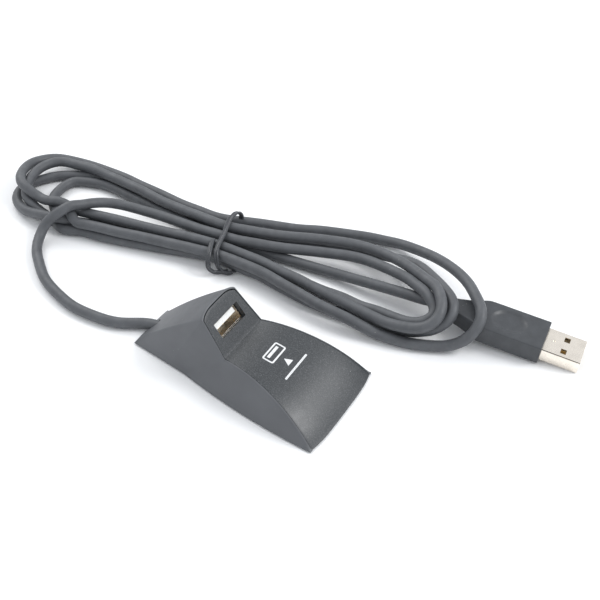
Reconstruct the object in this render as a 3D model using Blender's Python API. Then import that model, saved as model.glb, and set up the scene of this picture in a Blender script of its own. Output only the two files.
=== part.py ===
"""USB extension dock: a small weighted desk stand with a tilted USB-A socket, its lead and plug.

Frame: metres, +Z up, origin on the table under the middle of the dock. The socket faces -Y and up,
and the lead leaves the dock at +Y. Sizes below are millimetres, and MM turns them into metres.
"""

import math

import bmesh
import bpy
from mathutils import Matrix, Vector

MM = 0.001
GAP = 0.3

# Dock outline, seen from above: half widths and places along Y.
FRONT_Y, FRONT_HALF, FRONT_BOW = -38.7, 20.3, 1.2
WAIST_Y, WAIST_HALF, SIDE_BULGE = 15.5, 12.9, 1.5
WAIST_SHARE = 0.27
REAR_Y, REAR_HALF, REAR_BOW = 38.9, 9.7, 0.3
SKIRT_Z = 0.4

# Dock profile, seen from the side: arched ramp, tilted bezel, falling hood.
LIP_Y = -38.0
CREASE_Y, CREASE_Z, CREASE_HALF = -0.7, 14.2, 11.4
RAMP_RADIUS, RAMP_APEX = 44.7, 5.2
RAMP_FLARE, RAMP_CURL = 0.155, 0.0018
BEZEL_LENGTH, BEZEL_ANGLE = 14.8, math.radians(52.1)
RIDGE_HALF, RIDGE_BOW = 9.6, 2.0
FLAT_CROWN, ROUND_CROWN = 4.0, 2.0
# Hood: its rear end, how far its back bulges off the straight fall, and how far its sides swell.
HOOD_END_Y, HOOD_END_Z, HOOD_END_HALF = 38.2, 1.2, 7.6
HOOD_BULGE, HOOD_SWELL = 1.0, 0.3
ROW_POINTS = 9
RAMP_ROWS, BEZEL_ROWS, HOOD_ROWS = 11, 3, 9

# Shell thicknesses and the seat of the face cover.
WALL = 1.6
COVER = 1.8
COVER_INSET = 0.8

# Base plate, screws, feet and ballast.
PLATE_BOTTOM, PLATE_TOP = 0.9, 2.7
CUT_BELOW, CUT_ABOVE = -1.0, 40.0
PLATE_OUTLINE = [(-32.0, 15.4), (4.0, 10.3), (16.5, 9.2), (31.0, 7.2)]
PLATE_SLOT_Y, PLATE_SLOT_HALF, PLATE_SLOT_LENGTH = 25.4, 3.2, 10.0
SCREW_PLACES = {
    "front_left": (-10.6, -19.5),
    "front_right": (10.6, -19.5),
    "rear_left": (-5.8, 22.0),
    "rear_right": (5.8, 22.0),
}
FOOT_PLACES = {
    "front_left": (-12.2, -27.6),
    "front_right": (12.2, -27.6),
    "rear_left": (-6.2, 28.0),
    "rear_right": (6.2, 28.0),
}
BOSS_RADIUS, SCREW_RADIUS, SCREW_TOP = 2.2, 0.85, 8.2
COVER_BOSS_TOP = 10.9
HEAD_RADIUS, HEAD_BOTTOM, HEAD_TOP = 1.9, 1.0, 1.7
FOOT_RADIUS, FOOT_HEIGHT = 2.6, 0.6
BALLAST_SIZE, BALLAST_PLACE = (15.6, 34.0, 3.0), (0.0, -5.0, 4.5)

# Socket: a standard USB-A receptacle behind the bezel.
SOCKET_ALONG = 8.0
CUTOUT = (13.3, 5.7)
SOCKET_OUTER, SOCKET_METAL, SOCKET_DEPTH = (13.1, 5.7), 0.3, 12.0
TONGUE_SIZE, TONGUE_SHIFT = (11.1, 1.85, 10.0), 1.0
CONTACT_X = {"power": -3.5, "data_minus": -1.0, "data_plus": 1.0, "ground": 3.5}

# Lead, hank and tie.
LEAD_RADIUS = 2.0
GROMMET_RADIUS, GROMMET_SPAN, EXIT_Z = 2.25, (26.0, 30.5), 2.65
CONDUCTOR_Z = 3.5
NOTCH_X, NOTCH_RADIUS = -0.6, 2.6
HANK_FAR = (44.5, 113.5, 23.5)
HANK_NEAR = (60.0, -40.0, 26.0)
HANK_BOTTOM, HANK_TOP = 1.1, 8.1
TIE_PLACE, TIE_TURN = (53.0, 38.5), math.radians(24.0)
TIE_WIDTH, TIE_METAL, TIE_HALF_SPAN = 2.6, 0.7, 17.0

# Plug: a standard USB-A plug, its nose resting on the table.
PLUG_PLACE = (60.3, -84.5, 3.6)
PLUG_HEADING, PLUG_DIP = math.radians(-82.95), math.radians(-5.7)
PLUG_SHELL, PLUG_METAL = (12.0, 4.5), 0.3
PLUG_REACH, PLUG_BURIED = 13.4, 5.5
LATCH_SIZE, LATCH_REACH, LATCH_Y = (2.0, 2.3, 3.0), 7.0, 2.95
PLUG_TONGUE, PLUG_TONGUE_MIDDLE = (17.4, 11.1, 1.9), 3.8
OVERMOULD_LIFT = 0.4
OVERMOULD_SECTIONS = [
    (0.0, 7.2, 3.5),
    (-0.5, 7.35, 3.6),
    (-20.5, 7.35, 3.6),
    (-23.0, 6.9, 3.55),
    (-26.0, 5.4, 3.4),
    (-30.0, 4.2, 3.0),
    (-34.0, 3.3, 2.7),
    (-38.0, 2.7, 2.5),
]


def clear_scene():
    for thing in list(bpy.data.objects):
        bpy.data.objects.remove(thing, do_unlink=True)


def new_collection(name):
    collection = bpy.data.collections.new(name)
    bpy.context.scene.collection.children.link(collection)
    return collection


def make_material(name, colour, roughness, metallic=0.0):
    material = bpy.data.materials.new(name)
    material.use_nodes = True
    shader = material.node_tree.nodes["Principled BSDF"]
    shader.inputs["Base Color"].default_value = (*colour, 1.0)
    shader.inputs["Roughness"].default_value = roughness
    shader.inputs["Metallic"].default_value = metallic
    return material


def new_object(name, bm, collection, material=None, parent=None):
    """Turn a bmesh in millimetres into an object in metres."""
    bmesh.ops.scale(bm, vec=(MM, MM, MM), verts=bm.verts)
    bmesh.ops.recalc_face_normals(bm, faces=bm.faces)
    mesh = bpy.data.meshes.new(name)
    bm.to_mesh(mesh)
    bm.free()
    thing = bpy.data.objects.new(name, mesh)
    collection.objects.link(thing)
    if material:
        mesh.materials.append(material)
    if parent:
        thing.parent = parent
    if collection is CUTTERS:
        thing.hide_render = True
        thing.display_type = "WIRE"
    return thing


def shade_round(thing, angle=35.0):
    thing.data.shade_smooth()
    thing.data.set_sharp_from_angle(angle=math.radians(angle))


def boolean(target, cutter, operation="DIFFERENCE"):
    modifier = target.modifiers.new(cutter.name, "BOOLEAN")
    modifier.operation = operation
    modifier.solver = "EXACT"
    modifier.object = cutter


def box(name, size, centre, collection, material=None, parent=None, round_edges=0.0):
    bm = bmesh.new()
    bmesh.ops.create_cube(bm, size=1.0)
    bmesh.ops.scale(bm, vec=size, verts=bm.verts)
    if round_edges:
        bmesh.ops.bevel(
            bm, geom=bm.edges[:], offset=round_edges, segments=2, profile=0.5, affect="EDGES"
        )
    bmesh.ops.translate(bm, vec=centre, verts=bm.verts)
    return new_object(name, bm, collection, material, parent)


def cylinder(name, radius, start, end, collection, material=None, parent=None, sides=24):
    """A cylinder between two points, in millimetres."""
    axis = Vector(end) - Vector(start)
    bm = bmesh.new()
    bmesh.ops.create_cone(
        bm, cap_ends=True, segments=sides, radius1=radius, radius2=radius, depth=axis.length
    )
    turn = axis.to_track_quat("Z", "Y").to_matrix().to_4x4()
    middle = (Vector(start) + Vector(end)) / 2
    bmesh.ops.transform(bm, matrix=Matrix.Translation(middle) @ turn, verts=bm.verts)
    thing = new_object(name, bm, collection, material, parent)
    shade_round(thing)
    return thing


def slab(name, top_rows, bottom_rows, collection, material=None):
    """A closed solid between two grids of points with the same number of rows and columns."""
    bm = bmesh.new()
    top = [[bm.verts.new(p) for p in row] for row in top_rows]
    bottom = [[bm.verts.new(p) for p in row] for row in bottom_rows]
    rows, columns = len(top), len(top[0])
    for i in range(rows - 1):
        for k in range(columns - 1):
            for grid in (top, bottom):
                bm.faces.new((grid[i][k], grid[i][k + 1], grid[i + 1][k + 1], grid[i + 1][k]))
        for k in (0, columns - 1):
            bm.faces.new((top[i][k], top[i + 1][k], bottom[i + 1][k], bottom[i][k]))
    for k in range(columns - 1):
        for i in (0, rows - 1):
            bm.faces.new((top[i][k], top[i][k + 1], bottom[i][k + 1], bottom[i][k]))
    thing = new_object(name, bm, collection, material)
    shade_round(thing, 25.0)
    return thing


def loft(name, rings, collection, material=None, parent=None):
    """A closed solid through rings that have the same number of points."""
    bm = bmesh.new()
    skins = [[bm.verts.new(p) for p in ring] for ring in rings]
    count = len(skins[0])
    for near, far in zip(skins, skins[1:]):
        for k in range(count):
            n = (k + 1) % count
            bm.faces.new((near[k], near[n], far[n], far[k]))
    bm.faces.new(skins[0])
    bm.faces.new(skins[-1])
    thing = new_object(name, bm, collection, material, parent)
    shade_round(thing)
    return thing


def curve_to_mesh(curve_object, name, collection, material):
    """A welded mesh copy of a curve object, which is then removed."""
    depsgraph = bpy.context.evaluated_depsgraph_get()
    mesh = bpy.data.meshes.new_from_object(curve_object.evaluated_get(depsgraph))
    bm = bmesh.new()
    bm.from_mesh(mesh)
    bmesh.ops.remove_doubles(bm, verts=bm.verts, dist=0.0000001)
    bmesh.ops.recalc_face_normals(bm, faces=bm.faces)
    bm.to_mesh(mesh)
    bm.free()
    mesh.name = name
    mesh.materials.clear()
    thing = bpy.data.objects.new(name, mesh)
    thing.matrix_world = curve_object.matrix_world
    collection.objects.link(thing)
    if material:
        mesh.materials.append(material)
    if collection is CUTTERS:
        thing.hide_render = True
        thing.display_type = "WIRE"
    bpy.data.objects.remove(curve_object, do_unlink=True)
    return thing


def flat_outline(name, points, bottom, top, collection, material=None):
    """An outline in the XY plane, extruded from bottom to top."""
    curve = bpy.data.curves.new(name, "CURVE")
    curve.dimensions = "2D"
    curve.fill_mode = "BOTH"
    curve.extrude = (top - bottom) / 2 * MM
    spline = curve.splines.new("POLY")
    spline.points.add(len(points) - 1)
    for slot, (x, y) in zip(spline.points, points):
        slot.co = (x * MM, y * MM, 0.0, 1.0)
    spline.use_cyclic_u = True
    guide = bpy.data.objects.new(name + "_outline", curve)
    collection.objects.link(guide)
    guide.location = (0.0, 0.0, (top + bottom) / 2 * MM)
    bpy.context.view_layer.update()
    return curve_to_mesh(guide, name, collection, material)


def smooth_points(route, spacing):
    """Points read at an even spacing from a smooth curve through the route's own points."""
    route = [Vector(p) for p in route]
    ends = [2 * route[0] - route[1], *route, 2 * route[-1] - route[-2]]
    fine = []
    for a, b, c, d in zip(ends, ends[1:], ends[2:], ends[3:]):
        for step in range(24):
            t = step / 24
            fine.append(
                0.5
                * (
                    2 * b
                    + (c - a) * t
                    + (2 * a - 5 * b + 4 * c - d) * t * t
                    + (3 * b - a - 3 * c + d) * t * t * t
                )
            )
    fine.append(route[-1])
    total = sum((q - p).length for p, q in zip(fine, fine[1:]))
    count = max(3, round(total / spacing))
    wanted = [total * i / count for i in range(count + 1)]
    points = []
    walked = 0.0
    for p, q in zip(fine, fine[1:]):
        span = (q - p).length
        while wanted and walked + span >= wanted[0] - 1e-9:
            points.append(p.lerp(q, (wanted.pop(0) - walked) / span))
        walked += span
    return points


def tube(name, route, radius, spacing, collection, material, resolution=2):
    curve = bpy.data.curves.new(name, "CURVE")
    curve.dimensions = "3D"
    curve.bevel_depth = radius * MM
    curve.bevel_resolution = resolution
    curve.render_resolution_u = 0
    curve.use_fill_caps = True
    points = smooth_points(route, spacing)
    spline = curve.splines.new("POLY")
    spline.points.add(len(points) - 1)
    for slot, p in zip(spline.points, points):
        slot.co = (*(p * MM), 1.0)
    thing = bpy.data.objects.new(name, curve)
    collection.objects.link(thing)
    curve.materials.append(material)
    return thing


def new_frame(name, location, rotation):
    frame = bpy.data.objects.new(name, None)
    frame.location = Vector(location) * MM
    frame.rotation_euler = rotation
    PARTS.objects.link(frame)
    return frame


# ---------------------------------------------------------------------------------------------
# Dock surfaces
# ---------------------------------------------------------------------------------------------


def ramp_profile(t):
    """Profile point and half width on the ramp, from the lip (t = 0) to the crease (t = 1)."""
    ahead = (CREASE_Y - LIP_Y) * (1.0 - t)
    fall = math.sqrt(RAMP_RADIUS**2 - RAMP_APEX**2) - math.sqrt(
        RAMP_RADIUS**2 - (ahead - RAMP_APEX) ** 2
    )
    half = CREASE_HALF + RAMP_FLARE * ahead + RAMP_CURL * ahead**2
    return CREASE_Y - ahead, CREASE_Z - fall, half


def bezel_profile(t):
    """Profile point and half width on the bezel, from the crease (t = 0) to the ridge (t = 1)."""
    along = BEZEL_LENGTH * t
    y = CREASE_Y + along * math.cos(BEZEL_ANGLE)
    z = CREASE_Z + along * math.sin(BEZEL_ANGLE)
    return y, z, CREASE_HALF + (RIDGE_HALF - CREASE_HALF) * t


def hood_profile(t):
    """Profile point and half width on the hood, from the ridge (t = 0) to the rear (t = 1)."""
    ridge = Vector(
        (CREASE_Y + BEZEL_LENGTH * math.cos(BEZEL_ANGLE), CREASE_Z + BEZEL_LENGTH * math.sin(BEZEL_ANGLE))
    )
    fall = Vector((HOOD_END_Y, HOOD_END_Z)) - ridge
    arch = 4.0 * t * (1.0 - t)
    y, z = ridge + fall * t + Vector((-fall.y, fall.x)).normalized() * HOOD_BULGE * arch
    return y, z, RIDGE_HALF + (HOOD_END_HALF - RIDGE_HALF) * t + HOOD_SWELL * arch


def ramp_station(t):
    """A ramp row: profile, half width, bow vector, and the skirt point under it."""
    bow = Vector((0.0, -FRONT_BOW * (1.0 - t) ** 2, 0.0))
    skirt_y = FRONT_Y + (WAIST_Y - FRONT_Y) * t
    skirt_half = FRONT_HALF + (WAIST_HALF - FRONT_HALF) * t + SIDE_BULGE * 4.0 * t * (1.0 - t)
    return *ramp_profile(t), bow, FLAT_CROWN, skirt_y, skirt_half


def rear_skirt(share):
    """The skirt from the waist (share = 0) to the rear corner (share = 1)."""
    return WAIST_Y + (REAR_Y - WAIST_Y) * share, WAIST_HALF + (REAR_HALF - WAIST_HALF) * share


def bezel_station(t):
    bow = Vector((0.0, math.cos(BEZEL_ANGLE), math.sin(BEZEL_ANGLE))) * RIDGE_BOW * t
    return *bezel_profile(t), bow, FLAT_CROWN, *rear_skirt(WAIST_SHARE * t)


def hood_station(t):
    angle = BEZEL_ANGLE * (1.0 - t)
    size = REAR_BOW + (RIDGE_BOW - REAR_BOW) * (1.0 - t) ** 3
    bow = Vector((0.0, math.cos(angle), math.sin(angle))) * size
    crown = FLAT_CROWN + (ROUND_CROWN - FLAT_CROWN) * min(1.0, 5.0 * t)
    return *hood_profile(t), bow, crown, *rear_skirt(WAIST_SHARE + (1.0 - WAIST_SHARE) * t)


def all_stations():
    stations = [ramp_station(i / RAMP_ROWS) for i in range(RAMP_ROWS)]
    stations += [bezel_station(i / BEZEL_ROWS) for i in range(BEZEL_ROWS)]
    stations += [hood_station(i / HOOD_ROWS) for i in range(HOOD_ROWS + 1)]
    return stations


def face_stations(end_gap):
    """The stations of the ramp and the bezel only, which the face cover follows."""
    last = 1.0 - (COVER_INSET - end_gap) / BEZEL_LENGTH
    stations = [ramp_station(i / RAMP_ROWS) for i in range(RAMP_ROWS)]
    stations += [bezel_station(last * i / BEZEL_ROWS) for i in range(BEZEL_ROWS + 1)]
    return stations


def outward(stations, i):
    """The mitred outward direction of the profile at a station, in the YZ plane."""
    here = Vector(stations[i][:2])
    normals = []
    for j in (i - 1, i + 1):
        if 0 <= j < len(stations):
            run = (Vector(stations[j][:2]) - here) * (1 if j > i else -1)
            normals.append(Vector((-run.y, run.x)).normalized())
    if len(normals) == 1:
        return Vector((0.0, *normals[0]))
    a, b = normals
    return Vector((0.0, *((a + b) / (1.0 + a.dot(b)))))


def surface_rows(stations, lift, narrow, floor=None):
    """Rows of points over the stations, lifted off the surface and narrowed at the sides."""
    rows = []
    for i, (y, z, half, bow, crown, _, _) in enumerate(stations):
        shift = outward(stations, i) * lift
        row = []
        for k in range(ROW_POINTS):
            u = -1.0 + 2.0 * k / (ROW_POINTS - 1)
            p = Vector(((half - narrow) * u, y, z)) + bow * (1.0 - abs(u) ** crown) + shift
            if floor is not None:
                p.z = max(p.z, floor)
            row.append(p)
        rows.append(row)
    return rows


def skirt_rows(stations, z, narrow):
    rows = []
    for _, _, _, bow, crown, skirt_y, skirt_half in stations:
        row = []
        for k in range(ROW_POINTS):
            u = -1.0 + 2.0 * k / (ROW_POINTS - 1)
            flat_bow = bow.y * (1.0 - abs(u) ** crown) * (1.0 - bow.z / RIDGE_BOW)
            row.append(Vector(((skirt_half - narrow) * u, skirt_y + flat_bow, z)))
        rows.append(row)
    return rows


# ---------------------------------------------------------------------------------------------
# Dock shells
# ---------------------------------------------------------------------------------------------


def build_outer_housing(plastic):
    stations = all_stations()
    housing = slab(
        "outer_housing",
        surface_rows(stations, 0.0, 0.0),
        skirt_rows(stations, SKIRT_Z, 0.0),
        PARTS,
        plastic,
    )
    cavity = slab(
        "cavity",
        surface_rows(stations, -WALL, WALL),
        skirt_rows(stations, -2.0, WALL),
        CUTTERS,
    )
    for place in ("rear_left", "rear_right"):
        x, y = SCREW_PLACES[place]
        boss = cylinder(
            "boss_" + place, BOSS_RADIUS, (x, y, PLATE_TOP + GAP), (x, y, CUT_ABOVE), CUTTERS
        )
        boolean(cavity, boss)
    boolean(housing, cavity)
    seat_stations = face_stations(GAP)
    seat_top = surface_rows(seat_stations, 3.0, COVER_INSET - GAP)
    seat_bottom = surface_rows(seat_stations, -COVER - GAP, COVER_INSET - GAP)
    past_the_lip = Vector((0.0, -6.0, -3.0))
    for rows in (seat_top, seat_bottom):
        rows.insert(0, [p + past_the_lip for p in rows[0]])
    boolean(housing, slab("cover_seat", seat_top, seat_bottom, CUTTERS))
    boolean(housing, lead_notch())
    foot_size = (2 * NOTCH_RADIUS - 0.02, 14.0, 6.0)
    boolean(housing, box("lead_notch_foot", foot_size, (NOTCH_X, 39.0, EXIT_Z - 3.0), CUTTERS))
    for place in ("rear_left", "rear_right"):
        boolean(housing, screw_hole(place))
    return housing


def lead_notch():
    return cylinder(
        "lead_notch", NOTCH_RADIUS, (NOTCH_X, 32.0, EXIT_Z), (NOTCH_X, 46.0, EXIT_Z), CUTTERS
    )


def screw_hole(place):
    x, y = SCREW_PLACES[place]
    return cylinder(
        "screw_hole_" + place, SCREW_RADIUS + GAP, (x, y, CUT_BELOW), (x, y, SCREW_TOP + GAP), CUTTERS
    )


def build_face_cover(plastic, socket_frame):
    stations = face_stations(0.0)
    top = surface_rows(stations, 0.0, COVER_INSET)
    bottom = surface_rows(stations, -COVER, COVER_INSET, SKIRT_Z)
    for p, q in zip(bottom[0], top[0]):
        p.y = q.y - 0.6
    cover = slab("face_cover", top, bottom, PARTS, plastic)
    for place in ("front_left", "front_right"):
        x, y = SCREW_PLACES[place]
        boss = cylinder(
            "boss_" + place, BOSS_RADIUS, (x, y, PLATE_TOP + GAP), (x, y, COVER_BOSS_TOP), CUTTERS
        )
        boolean(cover, boss, "UNION")
        boolean(cover, screw_hole(place))
    boolean(cover, box("socket_cutout", (*CUTOUT, 12.0), (0, 0, 0), CUTTERS, parent=socket_frame))
    return cover


def build_base_plate(plastic):
    right = [(half, y) for y, half in PLATE_OUTLINE]
    left = [(-half, y) for y, half in reversed(PLATE_OUTLINE)]
    plate = flat_outline("base_plate", right + left, PLATE_BOTTOM, PLATE_TOP, PARTS, plastic)
    slot = box(
        "plate_slot",
        (2 * PLATE_SLOT_HALF, PLATE_SLOT_LENGTH, 6.0),
        (0, PLATE_SLOT_Y + PLATE_SLOT_LENGTH / 2, (PLATE_BOTTOM + PLATE_TOP) / 2),
        CUTTERS,
    )
    boolean(plate, slot)
    for place, (x, y) in SCREW_PLACES.items():
        through = cylinder(
            "plate_hole_" + place, SCREW_RADIUS + GAP, (x, y, CUT_BELOW), (x, y, 6.0), CUTTERS
        )
        recess = cylinder(
            "head_recess_" + place, HEAD_RADIUS + GAP, (x, y, CUT_BELOW), (x, y, HEAD_TOP + GAP), CUTTERS
        )
        boolean(plate, through)
        boolean(plate, recess)
    return plate


def build_base_screws(steel):
    for place, (x, y) in SCREW_PLACES.items():
        screw = cylinder(
            "base_screw_" + place, HEAD_RADIUS, (x, y, HEAD_BOTTOM), (x, y, HEAD_TOP), PARTS, steel
        )
        shank = cylinder(
            "shank_" + place, SCREW_RADIUS, (x, y, HEAD_TOP - 0.2), (x, y, SCREW_TOP), CUTTERS
        )
        boolean(screw, shank, "UNION")


def build_feet(rubber):
    for place, (x, y) in FOOT_PLACES.items():
        cylinder("foot_" + place, FOOT_RADIUS, (x, y, 0.0), (x, y, FOOT_HEIGHT), PARTS, rubber)


def build_ballast(steel):
    box("ballast_weight", BALLAST_SIZE, BALLAST_PLACE, PARTS, steel, round_edges=0.5)


# ---------------------------------------------------------------------------------------------
# Socket and inner wiring, built in the bezel's frame: +Z out of the socket, +Y up the bezel
# ---------------------------------------------------------------------------------------------


def build_socket(frame, nickel, white_plastic, gold, board_green):
    front = -COVER - GAP
    rear = front - SOCKET_DEPTH
    middle = (front + rear) / 2
    width, height = SOCKET_OUTER
    shell = box("socket_shell", (width, height, SOCKET_DEPTH), (0, 0, middle), PARTS, nickel, frame)
    bore = box(
        "socket_bore",
        (width - 2 * SOCKET_METAL, height - 2 * SOCKET_METAL, SOCKET_DEPTH + 4.0),
        (0, 0, middle),
        CUTTERS,
        parent=frame,
    )
    boolean(shell, bore)
    tongue_width, tongue_height, tongue_length = TONGUE_SIZE
    back_length = 2.4
    tongue = box(
        "socket_tongue",
        (tongue_width, tongue_height, tongue_length),
        (0, TONGUE_SHIFT, rear + back_length + tongue_length / 2 - 0.5),
        PARTS,
        white_plastic,
        frame,
    )
    back = box(
        "tongue_root", (12.0, 2.4, back_length), (0, TONGUE_SHIFT + 0.27, rear + back_length / 2),
        CUTTERS, parent=frame,
    )
    boolean(tongue, back, "UNION")
    underside = TONGUE_SHIFT - tongue_height / 2
    contact_bottom = underside - 0.1 - 0.25
    for name, x in CONTACT_X.items():
        box(
            "socket_contact_" + name,
            (1.0, 0.25, 11.4),
            (x, underside - 0.1 - 0.125, rear - 0.2 + 5.7),
            PARTS,
            gold,
            frame,
        )
    cap_top = contact_bottom - 0.15
    cap_bottom = -height / 2 + SOCKET_METAL + 0.15
    box(
        "socket_rear_cap",
        (12.0, cap_top - cap_bottom, back_length),
        (0, (cap_top + cap_bottom) / 2, rear + back_length / 2),
        PARTS,
        white_plastic,
        frame,
    )
    box("circuit_board", (14.6, 7.0, 1.0), (0, 0, rear - GAP - 0.5), PARTS, board_green, frame)
    return rear - GAP - 1.0


def build_conductors(frame, board_back, colours):
    """Four insulated wires from the back of the board to the moulded end of the lead."""
    turn = Matrix.Rotation(BEZEL_ANGLE, 4, "X")
    origin = frame.location / MM
    for (name, x), material in zip(CONTACT_X.items(), colours):
        narrow = x * 0.5
        start = origin + turn @ Vector((x * 0.8, 0.0, board_back - GAP))
        lead_in = origin + turn @ Vector((x * 0.8, 0.0, board_back - 2.2))
        end_y = GROMMET_SPAN[0] - GAP
        bend = (narrow, end_y - 4.2, CONDUCTOR_Z + 1.3)
        run_in = (narrow, end_y - 1.8, CONDUCTOR_Z + 0.1)
        route = [start, lead_in, bend, run_in, (narrow, end_y, CONDUCTOR_Z)]
        tube("conductor_" + name, route, 0.4, 1.2, PARTS, material, resolution=1)


# ---------------------------------------------------------------------------------------------
# Lead, hank, tie and plug
# ---------------------------------------------------------------------------------------------

# The lead from the dock to the hank, in millimetres: a loose bend round the back of the dock.
LEAD_ROUTE = [
    (0.0, 30.8, 2.65),
    (-0.2, 35.0, 2.5),
    (-1.2, 40.0, 2.2),
    (-6.3, 50.5, 2.0),
    (-7.6, 64.5, 2.0),
    (-6.0, 74.0, 2.0),
    (-1.5, 86.0, 2.0),
    (5.0, 95.0, 2.0),
    (10.0, 100.5, 2.0),
    (14.5, 103.5, 2.5),
    (19.0, 105.0, 4.0),
]


def build_lead(rubber):
    grommet_start, grommet_end = GROMMET_SPAN
    start, end = (0, grommet_start, EXIT_Z), (0, grommet_end, EXIT_Z)
    cylinder("lead_grommet", GROMMET_RADIUS, start, end, PARTS, rubber)
    tube("lead_dock_side", LEAD_ROUTE, LEAD_RADIUS, 4.6, PARTS, rubber)


def hank_outline():
    """Two round ends of different radius and the straight sides between them."""
    far, near = Vector(HANK_FAR[:2]), Vector(HANK_NEAR[:2])
    far_radius, near_radius = HANK_FAR[2], HANK_NEAR[2]
    axis = near - far
    heading = math.atan2(axis.y, axis.x)
    splay = math.acos((far_radius - near_radius) / axis.length)
    steps = 14
    points = []
    for centre, radius, first, last in (
        (near, near_radius, heading - splay, heading + splay),
        (far, far_radius, heading + splay, heading - splay + 2 * math.pi),
    ):
        for i in range(steps + 1):
            angle = first + (last - first) * i / steps
            points.append((centre.x + radius * math.cos(angle), centre.y + radius * math.sin(angle)))
    return points


def build_hank(rubber, plug_frame):
    hank = flat_outline("lead_hank", hank_outline(), HANK_BOTTOM, HANK_TOP, PARTS, rubber)
    for side in (-1, 1):
        waist = box("waist_%d" % side, (20.0, TIE_WIDTH + 2 * GAP, 20.0), (0, 0, 0), CUTTERS)
        reach = side * (TIE_HALF_SPAN - TIE_METAL - GAP + 10.0)
        offset = Matrix.Rotation(TIE_TURN, 3, "Z") @ Vector((reach, 0.0, 0.0))
        waist.location = (Vector((*TIE_PLACE, 5.0)) + offset) * MM
        waist.rotation_euler = (0.0, 0.0, TIE_TURN)
        boolean(hank, waist)
    first = OVERMOULD_SECTIONS[-1][0] - GAP
    notch = box("plug_notch", (60.0, 16.0, 60.0), (first + 30.0, 0, 0), CUTTERS, parent=plug_frame)
    boolean(hank, notch)
    return hank


def build_tie(vinyl):
    """The twist tie's loop: a flat ribbon once round the waist of the hank."""
    height_bottom, height_top = 0.05, HANK_TOP + GAP + TIE_METAL
    middle = (height_bottom + height_top) / 2
    height = height_top - height_bottom
    tie = box(
        "twist_tie", (2 * TIE_HALF_SPAN, TIE_WIDTH, height), (0, 0, 0), PARTS, vinyl
    )
    inside = box(
        "tie_inside",
        (2 * (TIE_HALF_SPAN - TIE_METAL), TIE_WIDTH + 4.0, height - 2 * TIE_METAL),
        (0, 0, 0),
        CUTTERS,
    )
    for thing in (tie, inside):
        thing.location = Vector((*TIE_PLACE, middle)) * MM
        thing.rotation_euler = (0.0, 0.0, TIE_TURN)
    boolean(tie, inside)
    return tie


def rounded_ring(along, half_width, half_height, corner=0.6, steps=3):
    """A rounded rectangle across the plug's axis, lifted towards the shell end."""
    lift = OVERMOULD_LIFT * (1.0 + along / 40.0)
    points = []
    for quarter, (sy, sz) in enumerate(((1, 1), (-1, 1), (-1, -1), (1, -1))):
        for i in range(steps + 1):
            angle = math.pi / 2 * (quarter + i / steps)
            y = sy * (half_width - corner) + corner * math.cos(angle)
            z = sz * (half_height - corner) + corner * math.sin(angle)
            points.append((along, y, z + lift))
    return points


def build_plug(frame, rubber, nickel, ivory_plastic, gold):
    """The plug along its frame's +X: overmould behind the origin, shell ahead of it."""
    rings = [rounded_ring(*section) for section in OVERMOULD_SECTIONS]
    overmould = loft("plug_overmould", rings, PARTS, rubber, frame)
    width, height = PLUG_SHELL
    pocket_size = (PLUG_BURIED + GAP, width + 2 * GAP, height + 2 * GAP)
    pocket = box(
        "shell_pocket",
        (pocket_size[0] + 5.0, *pocket_size[1:]),
        (-(PLUG_BURIED + GAP) + (pocket_size[0] + 5.0) / 2, 0, 0),
        CUTTERS,
        parent=frame,
    )
    boolean(overmould, pocket)
    length = PLUG_REACH + PLUG_BURIED
    middle = (PLUG_REACH - PLUG_BURIED) / 2
    shell = box("plug_shell", (length, width, height), (middle, 0, 0), PARTS, nickel, frame)
    bore = box(
        "shell_bore",
        (length + 4.0, width - 2 * PLUG_METAL, height - 2 * PLUG_METAL),
        (middle, 0, 0),
        CUTTERS,
        parent=frame,
    )
    boolean(shell, bore)
    for index, y in enumerate((-LATCH_Y, LATCH_Y)):
        place = (LATCH_REACH, y, height / 2)
        hole = box("latch_hole_%d" % index, LATCH_SIZE, place, CUTTERS, parent=frame)
        boolean(shell, hole)
    tongue_height = PLUG_TONGUE[2]
    tongue_z = -height / 2 + PLUG_METAL + 0.1 + tongue_height / 2
    tongue_place = (PLUG_TONGUE_MIDDLE, 0, tongue_z)
    box("plug_tongue", PLUG_TONGUE, tongue_place, PARTS, ivory_plastic, frame)
    contact_z = tongue_z + tongue_height / 2 + 0.05 + 0.125
    for name, y in CONTACT_X.items():
        box("plug_contact_" + name, (15.6, 1.0, 0.25), (3.6, -y, contact_z), PARTS, gold, frame)


# ---------------------------------------------------------------------------------------------
# Assembly
# ---------------------------------------------------------------------------------------------

clear_scene()
PARTS = new_collection("usb_extension_dock")
CUTTERS = new_collection("cutters")


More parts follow.
